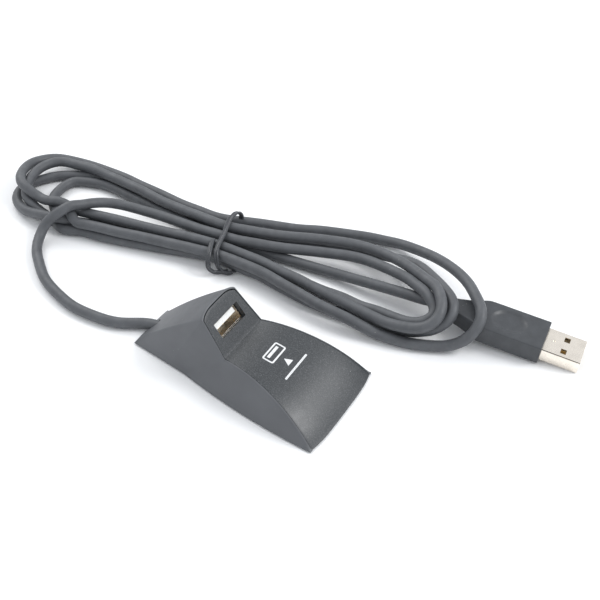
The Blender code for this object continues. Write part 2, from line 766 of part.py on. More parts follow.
def main():
    housing_plastic = make_material("housing_plastic", (0.115, 0.12, 0.13), 0.55)
    cover_plastic = make_material("cover_plastic", (0.07, 0.075, 0.08), 0.42)
    base_plastic = make_material("base_plastic", (0.03, 0.03, 0.032), 0.6)
    foot_rubber = make_material("foot_rubber", (0.02, 0.02, 0.02), 0.85)
    zinc_steel = make_material("zinc_steel", (0.55, 0.55, 0.56), 0.35, 1.0)
    nickel = make_material("nickel", (0.8, 0.77, 0.72), 0.22, 1.0)
    gold = make_material("contact_gold", (0.85, 0.62, 0.28), 0.25, 1.0)
    socket_plastic = make_material("socket_plastic", (0.85, 0.85, 0.83), 0.45)
    plug_plastic = make_material("plug_plastic", (0.5, 0.42, 0.28), 0.5)
    board_green = make_material("board_green", (0.02, 0.12, 0.05), 0.45)
    lead_rubber = make_material("lead_rubber", (0.07, 0.075, 0.082), 0.5)
    overmould_rubber = make_material("overmould_rubber", (0.085, 0.09, 0.1), 0.55)
    tie_vinyl = make_material("tie_vinyl", (0.015, 0.015, 0.018), 0.35)
    wire_colours = [
        make_material("wire_red", (0.5, 0.02, 0.02), 0.5),
        make_material("wire_white", (0.8, 0.8, 0.78), 0.5),
        make_material("wire_green", (0.02, 0.3, 0.06), 0.5),
        make_material("wire_black", (0.02, 0.02, 0.02), 0.5),
    ]
    y, z, _ = bezel_profile(SOCKET_ALONG / BEZEL_LENGTH)
    socket_frame = new_frame("socket_frame", (0.0, y, z), (BEZEL_ANGLE, 0.0, 0.0))
    plug_frame = new_frame("plug_frame", PLUG_PLACE, (0.0, -PLUG_DIP, PLUG_HEADING))
    build_outer_housing(housing_plastic)
    build_face_cover(cover_plastic, socket_frame)
    build_base_plate(base_plastic)
    build_base_screws(zinc_steel)
    build_feet(foot_rubber)
    build_ballast(zinc_steel)
    board_back = build_socket(socket_frame, nickel, socket_plastic, gold, board_green)
    build_conductors(socket_frame, board_back, wire_colours)
    build_lead(lead_rubber)
    build_hank(lead_rubber, plug_frame)
    build_tie(tie_vinyl)
    build_plug(plug_frame, overmould_rubber, nickel, plug_plastic, gold)


main()
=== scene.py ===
"""Looks of the USB extension dock: fine shells, one length of lead, materials, light and camera."""

import math

import bmesh
import bpy
import numpy as np
from mathutils import Matrix, Vector


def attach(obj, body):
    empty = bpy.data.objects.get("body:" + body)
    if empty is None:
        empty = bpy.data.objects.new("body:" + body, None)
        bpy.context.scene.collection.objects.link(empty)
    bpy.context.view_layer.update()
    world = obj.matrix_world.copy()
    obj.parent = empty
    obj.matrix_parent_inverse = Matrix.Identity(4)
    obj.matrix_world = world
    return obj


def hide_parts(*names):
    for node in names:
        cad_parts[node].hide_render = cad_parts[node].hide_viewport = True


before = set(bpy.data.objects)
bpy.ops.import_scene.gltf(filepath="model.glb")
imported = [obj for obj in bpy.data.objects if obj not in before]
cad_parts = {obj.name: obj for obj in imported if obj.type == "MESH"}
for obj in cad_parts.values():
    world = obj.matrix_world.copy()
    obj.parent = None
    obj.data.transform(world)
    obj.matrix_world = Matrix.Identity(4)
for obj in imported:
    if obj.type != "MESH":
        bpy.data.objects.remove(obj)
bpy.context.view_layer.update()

MM = 0.001
BODY = "root"

# Camera, in millimetres: where it stands and the directions of its right, up and back.
CAMERA_PLACE = (-202.9, -144.5, 258.6)
CAMERA_RIGHT = (0.5147, -0.8574, 0.0)
CAMERA_UP = (0.5788, 0.3475, 0.7377)
CAMERA_LENS, CAMERA_SENSOR = 63.0, 36.0

# Studio: an even pale surround, a large soft key light and a smaller fill (metres, watts).
WORLD_COLOUR, WORLD_STRENGTH = (0.94, 0.965, 1.0, 1.0), 0.88
KEY_PLACE, KEY_SIZE, KEY_POWER = (0.35, 0.75, 0.75), 0.8, 4.2
FILL_PLACE, FILL_SIZE, FILL_POWER = (0.36, -0.62, 0.69), 0.38, 4.2

# Dock outline and profile, as in the CAD model (millimetres).
FRONT_Y, FRONT_HALF, FRONT_BOW = -38.7, 20.3, 1.2
WAIST_Y, WAIST_HALF, SIDE_BULGE = 15.5, 12.9, 1.5
WAIST_SHARE = 0.27
REAR_Y, REAR_HALF, REAR_BOW = 38.9, 9.7, 0.3
SKIRT_Z = 0.4
LIP_Y = -38.0
CREASE_Y, CREASE_Z, CREASE_HALF = -0.7, 14.2, 11.4
RAMP_RADIUS, RAMP_APEX = 44.7, 5.2
RAMP_FLARE, RAMP_CURL = 0.155, 0.0018
BEZEL_LENGTH, BEZEL_ANGLE = 14.8, math.radians(52.1)
RIDGE_HALF, RIDGE_BOW = 9.6, 2.0
FLAT_CROWN, ROUND_CROWN = 4.0, 2.0
# Hood: its rear end, how far its back bulges off the straight fall, and how far its sides swell.
HOOD_END_Y, HOOD_END_Z, HOOD_END_HALF = 38.2, 1.2, 7.6
HOOD_BULGE, HOOD_SWELL = 1.0, 0.3
WALL, COVER, COVER_INSET, GAP = 1.6, 1.8, 0.8, 0.3
RAMP_INSET = 0.6
SOCKET_ALONG, CUTOUT = 8.0, (13.3, 5.7)
EXIT_Z, NOTCH_X, NOTCH_RADIUS = 2.65, -0.6, 2.6
COLUMNS = 37
RAMP_ROWS, BEZEL_ROWS, HOOD_ROWS = 36, 12, 32

# Plug, as in the CAD model (millimetres).
PLUG_PLACE = (60.3, -84.5, 3.6)
PLUG_HEADING, PLUG_DIP = math.radians(-82.95), math.radians(-5.7)
PLUG_SHELL, PLUG_METAL = (12.0, 4.5), 0.3
PLUG_REACH, PLUG_BURIED = 13.4, 5.5
OVERMOULD_LIFT = 0.4
SEAM_Y, SEAM_WIDTH, SEAM_DEPTH = -5.62, 0.36, 0.45
DENT_PLACE, DENT_HALF, DENT_DEPTH = (-13.4, 0.3), (6.4, 5.2), 0.85
OVERMOULD_SECTIONS = [
    (0.0, 7.35, 3.6),
    (-10.0, 7.35, 3.6),
    (-20.5, 7.35, 3.6),
    (-23.0, 6.9, 3.55),
    (-26.0, 5.4, 3.4),
    (-30.0, 4.2, 3.0),
    (-34.0, 3.3, 2.7),
    (-38.0, 2.7, 2.5),
]

# Lead: diameter and route (millimetres), from the dock through the hank to the plug.
LEAD_DIAMETER = 4.0
DOCK_RUN = [
    (0, 30.8, 2.65), (-0.2, 35, 2.5), (-1.2, 40, 2.2), (-6.3, 50.5, 2), (-7.6, 64.5, 2), (-6, 74, 2),
    (-1.5, 86, 2), (5, 95, 2), (10, 100.5, 2), (14.5, 103.5, 2.5), (19, 105, 4), (22, 103.5, 7.5),
    (25, 100, 10.5), (29, 98, 11), (39.5, 92.5, 8.5), (44, 86.5, 7), (46, 78, 6.5), (47.5, 69.5, 6),
    (48, 60.5, 6), (48.5, 51.5, 6), (49.5, 42, 6), (50.5, 34, 6), (55, 19, 6), (61, 5, 5.5),
    (65, -10, 6), (62, -26.5, 8.5), (57, -38, 11), (52.3, -45.2, 11.6), (47.2, -48.2, 10),
    (43.6, -45.8, 7.8), (42.4, -39.5, 6.2),
]
FIRST_TURN = [
    (43.5, -29.5, 5), (44, -21, 4), (45.5, -12.5, 3), (46, -3.5, 2), (46.5, 5, 2), (47, 14.5, 2),
    (47, 23, 2), (45, 39, 2.5), (43.5, 48, 2.5), (42, 56.5, 2), (40.5, 65, 2), (37, 81.5, 2),
    (34.5, 89.5, 2), (28.5, 99, 4), (25, 108, 5.5), (25.5, 118, 3.5), (29.5, 128, 2), (36, 132, 2),
    (41, 131.5, 2), (48.5, 127.5, 2), (54, 121.5, 2), (57.5, 111, 2), (58.5, 104, 2), (58, 88, 2),
    (57.5, 77.5, 2), (57, 67.5, 2), (56.5, 57.5, 2.5), (56.5, 46.5, 2.5),
]
SECOND_TURN = [
    (58, 39.5, 2.5), (63, 24, 2), (68.5, 9.5, 2), (71.5, 2, 2), (73.5, -5.5, 2.5), (73.5, -14, 3.5),
    (73, -21.5, 5), (72, -28, 6.5), (68.5, -34.5, 8.5), (59.5, -46.5, 11.5), (53.5, -52.3, 12),
    (49, -53.8, 10.3), (45.7, -51, 7.5), (43.4, -45.5, 5), (41.5, -38, 3), (41, -27, 2),
    (39, -16, 2), (38.5, -4, 2),
    (40, 10, 2), (41, 19, 2.5), (41, 28, 2.5), (41, 36, 2.5), (39.5, 45, 2.5), (37.5, 53, 2),
    (33, 69, 2), (29, 85, 2), (27.5, 98, 2), (28.5, 110, 2), (29, 118, 3), (31, 123.5, 5),
    (36.5, 128, 6), (47, 131, 6), (55.5, 127, 6), (58, 116.5, 5.5), (58.5, 108.5, 5.5), (58, 97.5, 5.5),
    (57, 86.5, 6), (55.5, 75.5, 6), (55, 65.5, 6), (55, 56, 6), (55, 45.5, 6),
]
THIRD_TURN = [
    (56.5, 38, 6), (61, 23, 6), (67, 8.5, 6), (71.5, -6.5, 6), (70, -20.5, 7.5), (63.5, -33.5, 11),
    (58, -41, 12.5), (53.3, -46.5, 13.8), (48.3, -50.3, 13.5), (43.3, -50.2, 11.2), (40, -46.5, 9),
    (38.3, -37, 7.2), (39, -29.5, 6.5), (40.5, -17, 6), (42, -3.5, 6), (43, 3, 6), (43.5, 12, 6),
    (44.5, 21.5, 6), (44, 38, 6), (41.5, 55.5, 6), (38.5, 72.5, 5.5), (37, 81, 5.5), (34, 96, 6),
    (32, 107, 6), (32, 117, 6.5), (32, 125, 9), (37.5, 131.5, 9), (46.5, 135.5, 7), (51.5, 135, 6),
    (56, 133, 5), (59.5, 130, 4), (63.5, 118.5, 2.5), (64.5, 103, 2), (63.5, 92, 2), (63, 81.5, 2),
    (62, 71, 2), (61.5, 61, 2.5), (62, 50.5, 2.5),
]
FOURTH_TURN = [
    (67, 36, 2.5), (72.5, 21, 2), (76, 13.5, 2), (81, -1, 2), (83, -9, 2), (83.5, -17.5, 3),
    (82, -26.5, 4.5), (78.5, -35, 7), (73.5, -43.5, 9.5), (68, -50.5, 11.5), (62.5, -56, 12.5),
    (53.5, -63, 12.5), (47.5, -62.5, 7.5), (43.5, -57, 3), (39.5, -48.5, 2), (37.5, -42.5, 2),
    (35.5, -32, 3), (34.5, -21.5, 5.5), (35, -10, 6), (36.5, -1, 6), (38, 8.5, 6), (39.5, 18, 6),
    (39.5, 35, 6), (38, 44, 6), (36.5, 52, 6), (33, 68.5, 6), (31, 76.5, 6), (29.5, 85, 6),
    (27.5, 96.5, 5.5), (30.5, 108, 4.5), (39, 117, 2), (48.5, 118, 2), (53, 116, 2), (56, 112.5, 2),
    (58, 107, 2), (57.5, 92.5, 2), (55, 75.5, 2), (54, 65, 2), (52, 54, 2.5), (51, 43, 2.5),
]
PLUG_RUN = [
    (53, 27, 2), (55, 10.5, 2), (56, -6.5, 3), (56, -23, 5), (55.5, -37, 7), (55, -43.5, 8.5),
    (55.5, -47, 8.5), (56, -50, 8),
]

# Twist tie: a ribbon wound once round the hank, its ends crossing in two small loops at the front.
TIE_CENTRE = (51.0, 43.0)
TIE_ALONG = (0.126, -0.992, 0.0)
TIE_WIDTH, TIE_LIFT = 2.0, 0.75
TIE_ROUTE = [
    (43.0, 41.2, 8.9), (40.3, 40.1, 9.2), (37.6, 38.9, 8.9), (35.1, 37.9, 7.9), (33.5, 37.3, 6.0),
    (33.3, 36.8, 3.8), (34.3, 35.2, 1.9), (36.1, 33.3, 1.5), (37.0, 31.3, 1.2), (38.4, 29.9, 1.2),
    (40.6, 30.2, 1.0), (45.5, 33.5, 0.9), (52.5, 38.3, 0.8), (59.0, 41.8, 0.85), (62.8, 43.0, 1.4),
    (64.0, 42.8, 3.6), (63.8, 42.3, 6.2), (62.6, 42.6, 8.2), (60.6, 42.8, 9.1), (58.7, 42.7, 9.25),
    (55.6, 42.4, 9.1), (48.1, 39.7, 9.1), (41.7, 37.7, 9.2), (38.4, 36.5, 8.8), (36.5, 35.5, 7.6),
    (35.7, 34.7, 5.2), (35.9, 33.9, 3.2), (36.6, 33.0, 1.7), (38.2, 32.3, 1.1),
]


# ---------------------------------------------------------------------------------------------
# Camera
# ---------------------------------------------------------------------------------------------


def add_camera():
    right, up = Vector(CAMERA_RIGHT), Vector(CAMERA_UP)
    back = right.cross(up)
    data = bpy.data.cameras.new("camera")
    data.lens = CAMERA_LENS
    data.sensor_width = CAMERA_SENSOR
    data.clip_start, data.clip_end = 0.01, 10.0
    camera = bpy.data.objects.new("camera", data)
    turn = Matrix((right, up, back)).transposed().to_4x4()
    camera.matrix_world = Matrix.Translation(Vector(CAMERA_PLACE) * MM) @ turn
    bpy.context.scene.collection.objects.link(camera)
    bpy.context.scene.camera = camera


# ---------------------------------------------------------------------------------------------
# Node helpers and materials
# ---------------------------------------------------------------------------------------------


class Shader:
    """A Principled material and short calls for the nodes that feed it."""

    def __init__(self, name, colour, roughness, metallic=0.0, **sockets):
        self.material = bpy.data.materials.new(name)
        self.material.use_nodes = True
        self.tree = self.material.node_tree
        self.shader = self.tree.nodes["Principled BSDF"]
        self.set("Base Color", (*colour, 1.0))
        self.set("Roughness", roughness)
        self.set("Metallic", metallic)
        for socket, value in sockets.items():
            self.set(socket.replace("_", " "), value)
        coordinates = self.tree.nodes.new("ShaderNodeTexCoord")
        self.place = coordinates.outputs["Object"]

    def set(self, socket, value):
        self.shader.inputs[socket].default_value = value

    def link(self, output, socket):
        self.tree.links.new(output, socket)

    def noise(self, scale, detail=3.0, roughness=0.5, vector=None, distortion=0.0):
        node = self.tree.nodes.new("ShaderNodeTexNoise")
        node.inputs["Scale"].default_value = scale
        node.inputs["Detail"].default_value = detail
        node.inputs["Roughness"].default_value = roughness
        node.inputs["Distortion"].default_value = distortion
        self.link(vector or self.place, node.inputs["Vector"])
        return node.outputs["Fac"]

    def cells(self, scale, vector=None):
        node = self.tree.nodes.new("ShaderNodeTexVoronoi")
        node.inputs["Scale"].default_value = scale
        self.link(vector or self.place, node.inputs["Vector"])
        return node.outputs["Distance"], node.outputs["Color"]

    def stretched(self, scale):
        node = self.tree.nodes.new("ShaderNodeMapping")
        node.inputs["Scale"].default_value = scale
        self.link(self.place, node.inputs["Vector"])
        return node.outputs["Vector"]

    def ramp(self, value, low, high, start=0.0, end=1.0):
        node = self.tree.nodes.new("ShaderNodeMapRange")
        node.inputs["From Min"].default_value = low
        node.inputs["From Max"].default_value = high
        node.inputs["To Min"].default_value = start
        node.inputs["To Max"].default_value = end
        self.link(value, node.inputs["Value"])
        return node.outputs["Result"]

    def maths(self, operation, a, b):
        node = self.tree.nodes.new("ShaderNodeMath")
        node.operation = operation
        for socket, value in zip(node.inputs, (a, b)):
            if isinstance(value, (int, float)):
                socket.default_value = value
            else:
                self.link(value, socket)
        return node.outputs[0]

    def mix(self, factor, a, b):
        node = self.tree.nodes.new("ShaderNodeMix")
        node.data_type = "RGBA"
        self.link(factor, node.inputs["Factor"])
        for socket, value in ((node.inputs[6], a), (node.inputs[7], b)):
            if isinstance(value, tuple):
                socket.default_value = (*value, 1.0)
            else:
                self.link(value, socket)
        return node.outputs[2]

    def bump(self, height, strength, distance):
        node = self.tree.nodes.new("ShaderNodeBump")
        node.inputs["Strength"].default_value = strength
        node.inputs["Distance"].default_value = distance
        self.link(height, node.inputs["Height"])
        self.link(node.outputs["Normal"], self.shader.inputs["Normal"])

    def colour(self, output):
        self.link(output, self.shader.inputs["Base Color"])

    def rough(self, output):
        self.link(output, self.shader.inputs["Roughness"])


def shade(colour, factor):
    return tuple(min(1.0, c * factor) for c in colour)


def dust_specks(s, scale, size, seed_scale=7.0):
    """Sparse tiny specks: the hearts of some of the cells only."""
    distance, tint = s.cells(scale)
    separate = s.tree.nodes.new("ShaderNodeSeparateColor")
    s.link(tint, separate.inputs["Color"])
    rare = s.ramp(separate.outputs[0], 0.93, 0.97)
    heart = s.ramp(distance, size, size * 0.5)
    patch = s.ramp(s.noise(seed_scale * 10.0), 0.45, 0.6)
    return s.maths("MULTIPLY", s.maths("MULTIPLY", rare, heart), patch)


def moulded_plastic(name, colour, roughness, grain=0.012, flake=0.0, **sockets):
    """Spark-eroded moulded plastic: a fine grain, slight tone drift, dust specks, optional flake."""
    s = Shader(name, colour, roughness, **sockets)
    drift = s.ramp(s.noise(90.0, 2.0), 0.3, 0.7)
    tone = s.mix(drift, shade(colour, 0.93), shade(colour, 1.06))
    if flake:
        _, tint = s.cells(7500.0)
        separate = s.tree.nodes.new("ShaderNodeSeparateColor")
        s.link(tint, separate.inputs["Color"])
        tone = s.mix(s.ramp(separate.outputs[0], 0.72, 1.0, 0.0, flake), tone, (0.55, 0.56, 0.58))
    specks = dust_specks(s, 900.0, 0.16)
    tone = s.mix(s.ramp(specks, 0.0, 1.0, 0.0, 0.55), tone, (0.5, 0.5, 0.49))
    s.colour(tone)
    fine = s.noise(4200.0, 2.0, 0.6)
    s.rough(s.ramp(s.noise(420.0, 3.0), 0.3, 0.7, roughness - 0.02, roughness + 0.025))
    s.bump(fine, 0.35, grain * MM)
    return s.material


def soft_pvc(name, colour, roughness, grain=0.02):
    """Extruded or moulded soft PVC: satin, faintly cloudy, with dust and light scuffs."""
    s = Shader(name, colour, roughness)
    cloud = s.ramp(s.noise(260.0, 4.0, 0.6), 0.35, 0.7)
    tone = s.mix(cloud, shade(colour, 0.88), shade(colour, 1.14))
    specks = dust_specks(s, 700.0, 0.14, 4.0)
    tone = s.mix(s.ramp(specks, 0.0, 1.0, 0.0, 0.6), tone, (0.42, 0.41, 0.39))
    s.colour(tone)
    s.rough(s.ramp(s.noise(600.0, 3.0), 0.3, 0.7, roughness - 0.07, roughness + 0.08))
    s.bump(s.noise(2600.0, 3.0, 0.65), 0.3, grain * MM)
    return s.material


def plated_metal(name, colour, roughness, scratch=(1.0, 1.0, 1.0)):
    """Bright plating over a drawn or stamped blank, with faint draw lines and handling marks."""
    s = Shader(name, colour, roughness, 1.0)
    lines = s.noise(900.0, 2.0, 0.5, s.stretched(scratch))
    stain = s.ramp(s.noise(320.0, 3.0), 0.4, 0.75)
    s.colour(s.mix(stain, colour, shade(colour, 0.9)))
    s.rough(s.ramp(lines, 0.35, 0.75, roughness * 0.75, roughness * 1.35))
    s.bump(lines, 0.12, 0.01 * MM)
    return s.material


def plain_plastic(name, colour, roughness, **sockets):
    """Small inner mouldings and insulation: a light mottle and a fine grain."""
    s = Shader(name, colour, roughness, **sockets)
    mottle = s.ramp(s.noise(900.0, 2.0), 0.3, 0.7)
    s.colour(s.mix(mottle, shade(colour, 0.92), shade(colour, 1.05)))
    s.rough(s.ramp(s.noise(1500.0, 2.0), 0.3, 0.7, roughness - 0.05, roughness + 0.05))
    s.bump(s.noise(5000.0, 2.0), 0.2, 0.008 * MM)
    return s.material


def board_material():
    """Green solder mask with the lighter pattern of the copper under it."""
    s = Shader("board_green", (0.02, 0.12, 0.05), 0.35)
    distance, _ = s.cells(700.0)
    tracks = s.ramp(distance, 0.35, 0.4)
    s.colour(s.mix(tracks, (0.03, 0.2, 0.08), (0.012, 0.1, 0.04)))
    s.bump(tracks, 0.3, 0.02 * MM)
    return s.material


def table_material():
    s = Shader("table_white", (0.96, 0.965, 0.97), 0.6)
    s.colour(s.mix(s.noise(3.0, 2.0), (0.95, 0.955, 0.962), (0.97, 0.974, 0.98)))
    return s.material


# ---------------------------------------------------------------------------------------------
# Mesh helpers: everything below is drawn in millimetres and turned into metres at the end
# ---------------------------------------------------------------------------------------------


def new_piece(name, bm, material=None, matrix=None, angle=30.0):
    """Turn a bmesh in millimetres into a piece in metres."""
    if matrix is not None:
        bmesh.ops.transform(bm, matrix=matrix, verts=bm.verts)
    bmesh.ops.scale(bm, vec=(MM, MM, MM), verts=bm.verts)
    bmesh.ops.recalc_face_normals(bm, faces=bm.faces)
    mesh = bpy.data.meshes.new(name)
    bm.to_mesh(mesh)
    bm.free()
    mesh.shade_smooth()
    mesh.set_sharp_from_angle(angle=math.radians(angle))
    if material:
        mesh.materials.append(material)
    piece = bpy.data.objects.new(name, mesh)
    bpy.context.scene.collection.objects.link(piece)
    return piece


def cut(piece, *cutters):
    """Apply exact booleans and remove the cutters."""
    for cutter in cutters:
        modifier = piece.modifiers.new("cut", "BOOLEAN")
        modifier.operation = "DIFFERENCE"
        modifier.solver = "EXACT"
        modifier.object = cutter
    apply_modifiers(piece)
    for cutter in cutters:
        bpy.data.objects.remove(cutter, do_unlink=True)


def apply_modifiers(piece):
    depsgraph = bpy.context.evaluated_depsgraph_get()
    depsgraph.update()
    mesh = bpy.data.meshes.new_from_object(piece.evaluated_get(depsgraph))
    old = piece.data
    piece.modifiers.clear()
    piece.data = mesh
    mesh.name = piece.name
    bpy.data.meshes.remove(old)


def grid_solid(top_rows, bottom_rows):
    """A closed solid between two grids; returns its bmesh and the top grid's vertices."""
    bm = bmesh.new()
    top = [[bm.verts.new(p) for p in row] for row in top_rows]
    bottom = [[bm.verts.new(p) for p in row] for row in bottom_rows]
    rows, columns = len(top), len(top[0])
    for i in range(rows - 1):
        for k in range(columns - 1):
            for grid in (top, bottom):
                bm.faces.new((grid[i][k], grid[i][k + 1], grid[i + 1][k + 1], grid[i + 1][k]))
        for k in (0, columns - 1):
            bm.faces.new((top[i][k], top[i + 1][k], bottom[i + 1][k], bottom[i][k]))
    for k in range(columns - 1):
        for i in (0, rows - 1):
            bm.faces.new((top[i][k], top[i][k + 1], bottom[i][k + 1], bottom[i][k]))
    bmesh.ops.recalc_face_normals(bm, faces=bm.faces)
    return bm, top


def bevel_lines(bm, lines, width, segments=3):
    """Round the edges that run along chains of vertices."""
    edges = set()
    for line in lines:
        for a, b in zip(line, line[1:]):
            edges.add(bm.edges.get((a, b)))
    edges.discard(None)
    bmesh.ops.bevel(
        bm,
        geom=list(edges),
        offset=width,
        segments=segments,
        profile=0.5,
        affect="EDGES",
        clamp_overlap=True,
    )


def loft_rings(rings):
    """Skin the rings in order and close both ends."""
    bm = bmesh.new()
    skins = [[bm.verts.new(p) for p in ring] for ring in rings]
    count = len(skins[0])
    for near, far in zip(skins, skins[1:]):
        for k in range(count):
            n = (k + 1) % count
            bm.faces.new((near[k], near[n], far[n], far[k]))
    bm.faces.new(skins[0])
    bm.faces.new(skins[-1])
    return bm


def box_mesh(size, centre, round_edges=0.0, segments=3):
    bm = bmesh.new()
    bmesh.ops.create_cube(bm, size=1.0)
    bmesh.ops.scale(bm, vec=size, verts=bm.verts)
    if round_edges:
        bmesh.ops.bevel(
            bm, geom=bm.edges[:], offset=round_edges, segments=segments, profile=0.5, affect="EDGES"
        )
    bmesh.ops.translate(bm, vec=centre, verts=bm.verts)
    return bm


def cylinder_mesh(radius, start, end, sides=48):
    axis = Vector(end) - Vector(start)
    bm = bmesh.new()
    bmesh.ops.create_cone(
        bm, cap_ends=True, segments=sides, radius1=radius, radius2=radius, depth=axis.length
    )
    turn = axis.to_track_quat("Z", "Y").to_matrix().to_4x4()
    middle = (Vector(start) + Vector(end)) / 2
    bmesh.ops.transform(bm, matrix=Matrix.Translation(middle) @ turn, verts=bm.verts)
    return bm


def place(piece, *nodes, slot, body=BODY):
    """Let a piece ride on the dock and stand for CAD nodes; the slot argument is not used."""
    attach(piece, body)
    if nodes:
        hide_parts(*nodes)
    return piece


# ---------------------------------------------------------------------------------------------
# Dock surfaces, from the same formulas as the CAD model but finer
# ---------------------------------------------------------------------------------------------


def ramp_profile(t):
    ahead = (CREASE_Y - LIP_Y) * (1.0 - t)
    fall = math.sqrt(RAMP_RADIUS**2 - RAMP_APEX**2) - math.sqrt(
        RAMP_RADIUS**2 - (ahead - RAMP_APEX) ** 2
    )
    half = CREASE_HALF + RAMP_FLARE * ahead + RAMP_CURL * ahead**2
    return CREASE_Y - ahead, CREASE_Z - fall, half


def bezel_profile(t):
    along = BEZEL_LENGTH * t
    y = CREASE_Y + along * math.cos(BEZEL_ANGLE)
    z = CREASE_Z + along * math.sin(BEZEL_ANGLE)
    return y, z, CREASE_HALF + (RIDGE_HALF - CREASE_HALF) * t


def hood_profile(t):
    """Profile point and half width on the hood, from the ridge (t = 0) to the rear (t = 1)."""
    ridge = Vector(
        (CREASE_Y + BEZEL_LENGTH * math.cos(BEZEL_ANGLE), CREASE_Z + BEZEL_LENGTH * math.sin(BEZEL_ANGLE))
    )
    fall = Vector((HOOD_END_Y, HOOD_END_Z)) - ridge
    arch = 4.0 * t * (1.0 - t)
    y, z = ridge + fall * t + Vector((-fall.y, fall.x)).normalized() * HOOD_BULGE * arch
    return y, z, RIDGE_HALF + (HOOD_END_HALF - RIDGE_HALF) * t + HOOD_SWELL * arch


def rear_skirt(share):
    return WAIST_Y + (REAR_Y - WAIST_Y) * share, WAIST_HALF + (REAR_HALF - WAIST_HALF) * share


def ramp_station(t):
    bow = Vector((0.0, -FRONT_BOW * (1.0 - t) ** 2, 0.0))
    skirt_y = FRONT_Y + (WAIST_Y - FRONT_Y) * t
    skirt_half = FRONT_HALF + (WAIST_HALF - FRONT_HALF) * t + SIDE_BULGE * 4.0 * t * (1.0 - t)
    return *ramp_profile(t), bow, FLAT_CROWN, skirt_y, skirt_half


def bezel_station(t):
    bow = Vector((0.0, math.cos(BEZEL_ANGLE), math.sin(BEZEL_ANGLE))) * RIDGE_BOW * t
    return *bezel_profile(t), bow, FLAT_CROWN, *rear_skirt(WAIST_SHARE * t)


def hood_station(t):
    angle = BEZEL_ANGLE * (1.0 - t)
    size = REAR_BOW + (RIDGE_BOW - REAR_BOW) * (1.0 - t) ** 3
    bow = Vector((0.0, math.cos(angle), math.sin(angle))) * size
    crown = FLAT_CROWN + (ROUND_CROWN - FLAT_CROWN) * min(1.0, 5.0 * t)
    return *hood_profile(t), bow, crown, *rear_skirt(WAIST_SHARE + (1.0 - WAIST_SHARE) * t)


def all_stations(coarse=1):
    ramp, bezel, hood = RAMP_ROWS // coarse, BEZEL_ROWS // coarse, HOOD_ROWS // coarse
    stations = [ramp_station(i / ramp) for i in range(ramp)]
    stations += [bezel_station(i / bezel) for i in range(bezel)]
    stations += [hood_station(i / hood) for i in range(hood + 1)]
    return stations


def face_stations(end_gap, coarse=1):
    """The stations of the ramp and the bezel only, which the face cover follows."""
    last = 1.0 - (COVER_INSET - end_gap) / BEZEL_LENGTH
    ramp, bezel = RAMP_ROWS // coarse, BEZEL_ROWS // coarse
    stations = [ramp_station(i / ramp) for i in range(ramp)]
    stations += [bezel_station(last * i / bezel) for i in range(bezel + 1)]
    return stations


def outward(stations, i):
    here = Vector(stations[i][:2])
    normals = []
    for j in (i - 1, i + 1):
        if 0 <= j < len(stations):
            run = (Vector(stations[j][:2]) - here) * (1 if j > i else -1)
            normals.append(Vector((-run.y, run.x)).normalized())
    if len(normals) == 1:
        return Vector((0.0, *normals[0]))
    a, b = normals
    return Vector((0.0, *((a + b) / (1.0 + a.dot(b)))))


def column_shares():
    """Evenly spaced places across the surface, from -1 to 1."""
    return [-1.0 + 2.0 * k / (COLUMNS - 1) for k in range(COLUMNS)]


def surface_rows(stations, lift, narrow, floor=None):
    insets = narrow if isinstance(narrow, list) else [narrow] * len(stations)
    rows = []
    for i, (y, z, half, bow, crown, _, _) in enumerate(stations):
        shift = outward(stations, i) * lift
        row = []
        for u in column_shares():
            p = Vector(((half - insets[i]) * u, y, z)) + bow * (1.0 - abs(u) ** crown) + shift
            if floor is not None:
                p.z = max(p.z, floor)
            row.append(p)
        rows.append(row)
    return rows


def skirt_rows(stations, z, narrow):
    rows = []
    for _, _, _, bow, crown, skirt_y, skirt_half in stations:
        row = []
        for u in column_shares():
            flat_bow = bow.y * (1.0 - abs(u) ** crown) * (1.0 - bow.z / RIDGE_BOW)
            row.append(Vector(((skirt_half - narrow) * u, skirt_y + flat_bow, z)))
        rows.append(row)
    return rows


def build_housing(plastic):
    stations = all_stations()
    bm, top = grid_solid(surface_rows(stations, 0.0, 0.0), skirt_rows(stations, SKIRT_Z, 0.0))
    crease, ridge = RAMP_ROWS, RAMP_ROWS + BEZEL_ROWS
    sides = [[row[0] for row in top], [row[-1] for row in top]]
    bevel_lines(bm, [*sides, top[ridge], top[0], top[-1]], 0.45)
    housing = new_piece("dock_housing", bm, plastic, angle=25.0)
    inner = all_stations(coarse=2)
    cavity, _ = grid_solid(surface_rows(inner, -WALL, WALL), skirt_rows(inner, -2.0, WALL))
    seat_stations = face_stations(GAP, coarse=2)
    seat_top = surface_rows(seat_stations, 2.0, COVER_INSET - GAP)
    seat_bottom = surface_rows(seat_stations, -COVER - GAP, COVER_INSET - GAP)
    past_the_lip = Vector((0.0, -6.0, -3.0))
    for rows in (seat_top, seat_bottom):
        rows.insert(0, [p + past_the_lip for p in rows[0]])
    seat, _ = grid_solid(seat_top, seat_bottom)
    notch = cylinder_mesh(NOTCH_RADIUS, (NOTCH_X, 32.0, EXIT_Z), (NOTCH_X, 46.0, EXIT_Z))
    foot = box_mesh((2 * NOTCH_RADIUS - 0.02, 14.0, 6.0), (NOTCH_X, 39.0, EXIT_Z - 3.0))
    cutters = [new_piece("cutter", m) for m in (cavity, seat, notch, foot)]
    cut(housing, *cutters)
    housing.data.shade_smooth()
    housing.data.set_sharp_from_angle(angle=math.radians(25.0))
    return place(housing, "outer_housing", slot="housing_plastic")


def bezel_frame():
    """Matrix from the socket's own frame: +Z out of the socket, +Y up the bezel."""
    y, z, _ = bezel_profile(SOCKET_ALONG / BEZEL_LENGTH)
    return Matrix.Translation((0.0, y, z)) @ Matrix.Rotation(BEZEL_ANGLE, 4, "X")


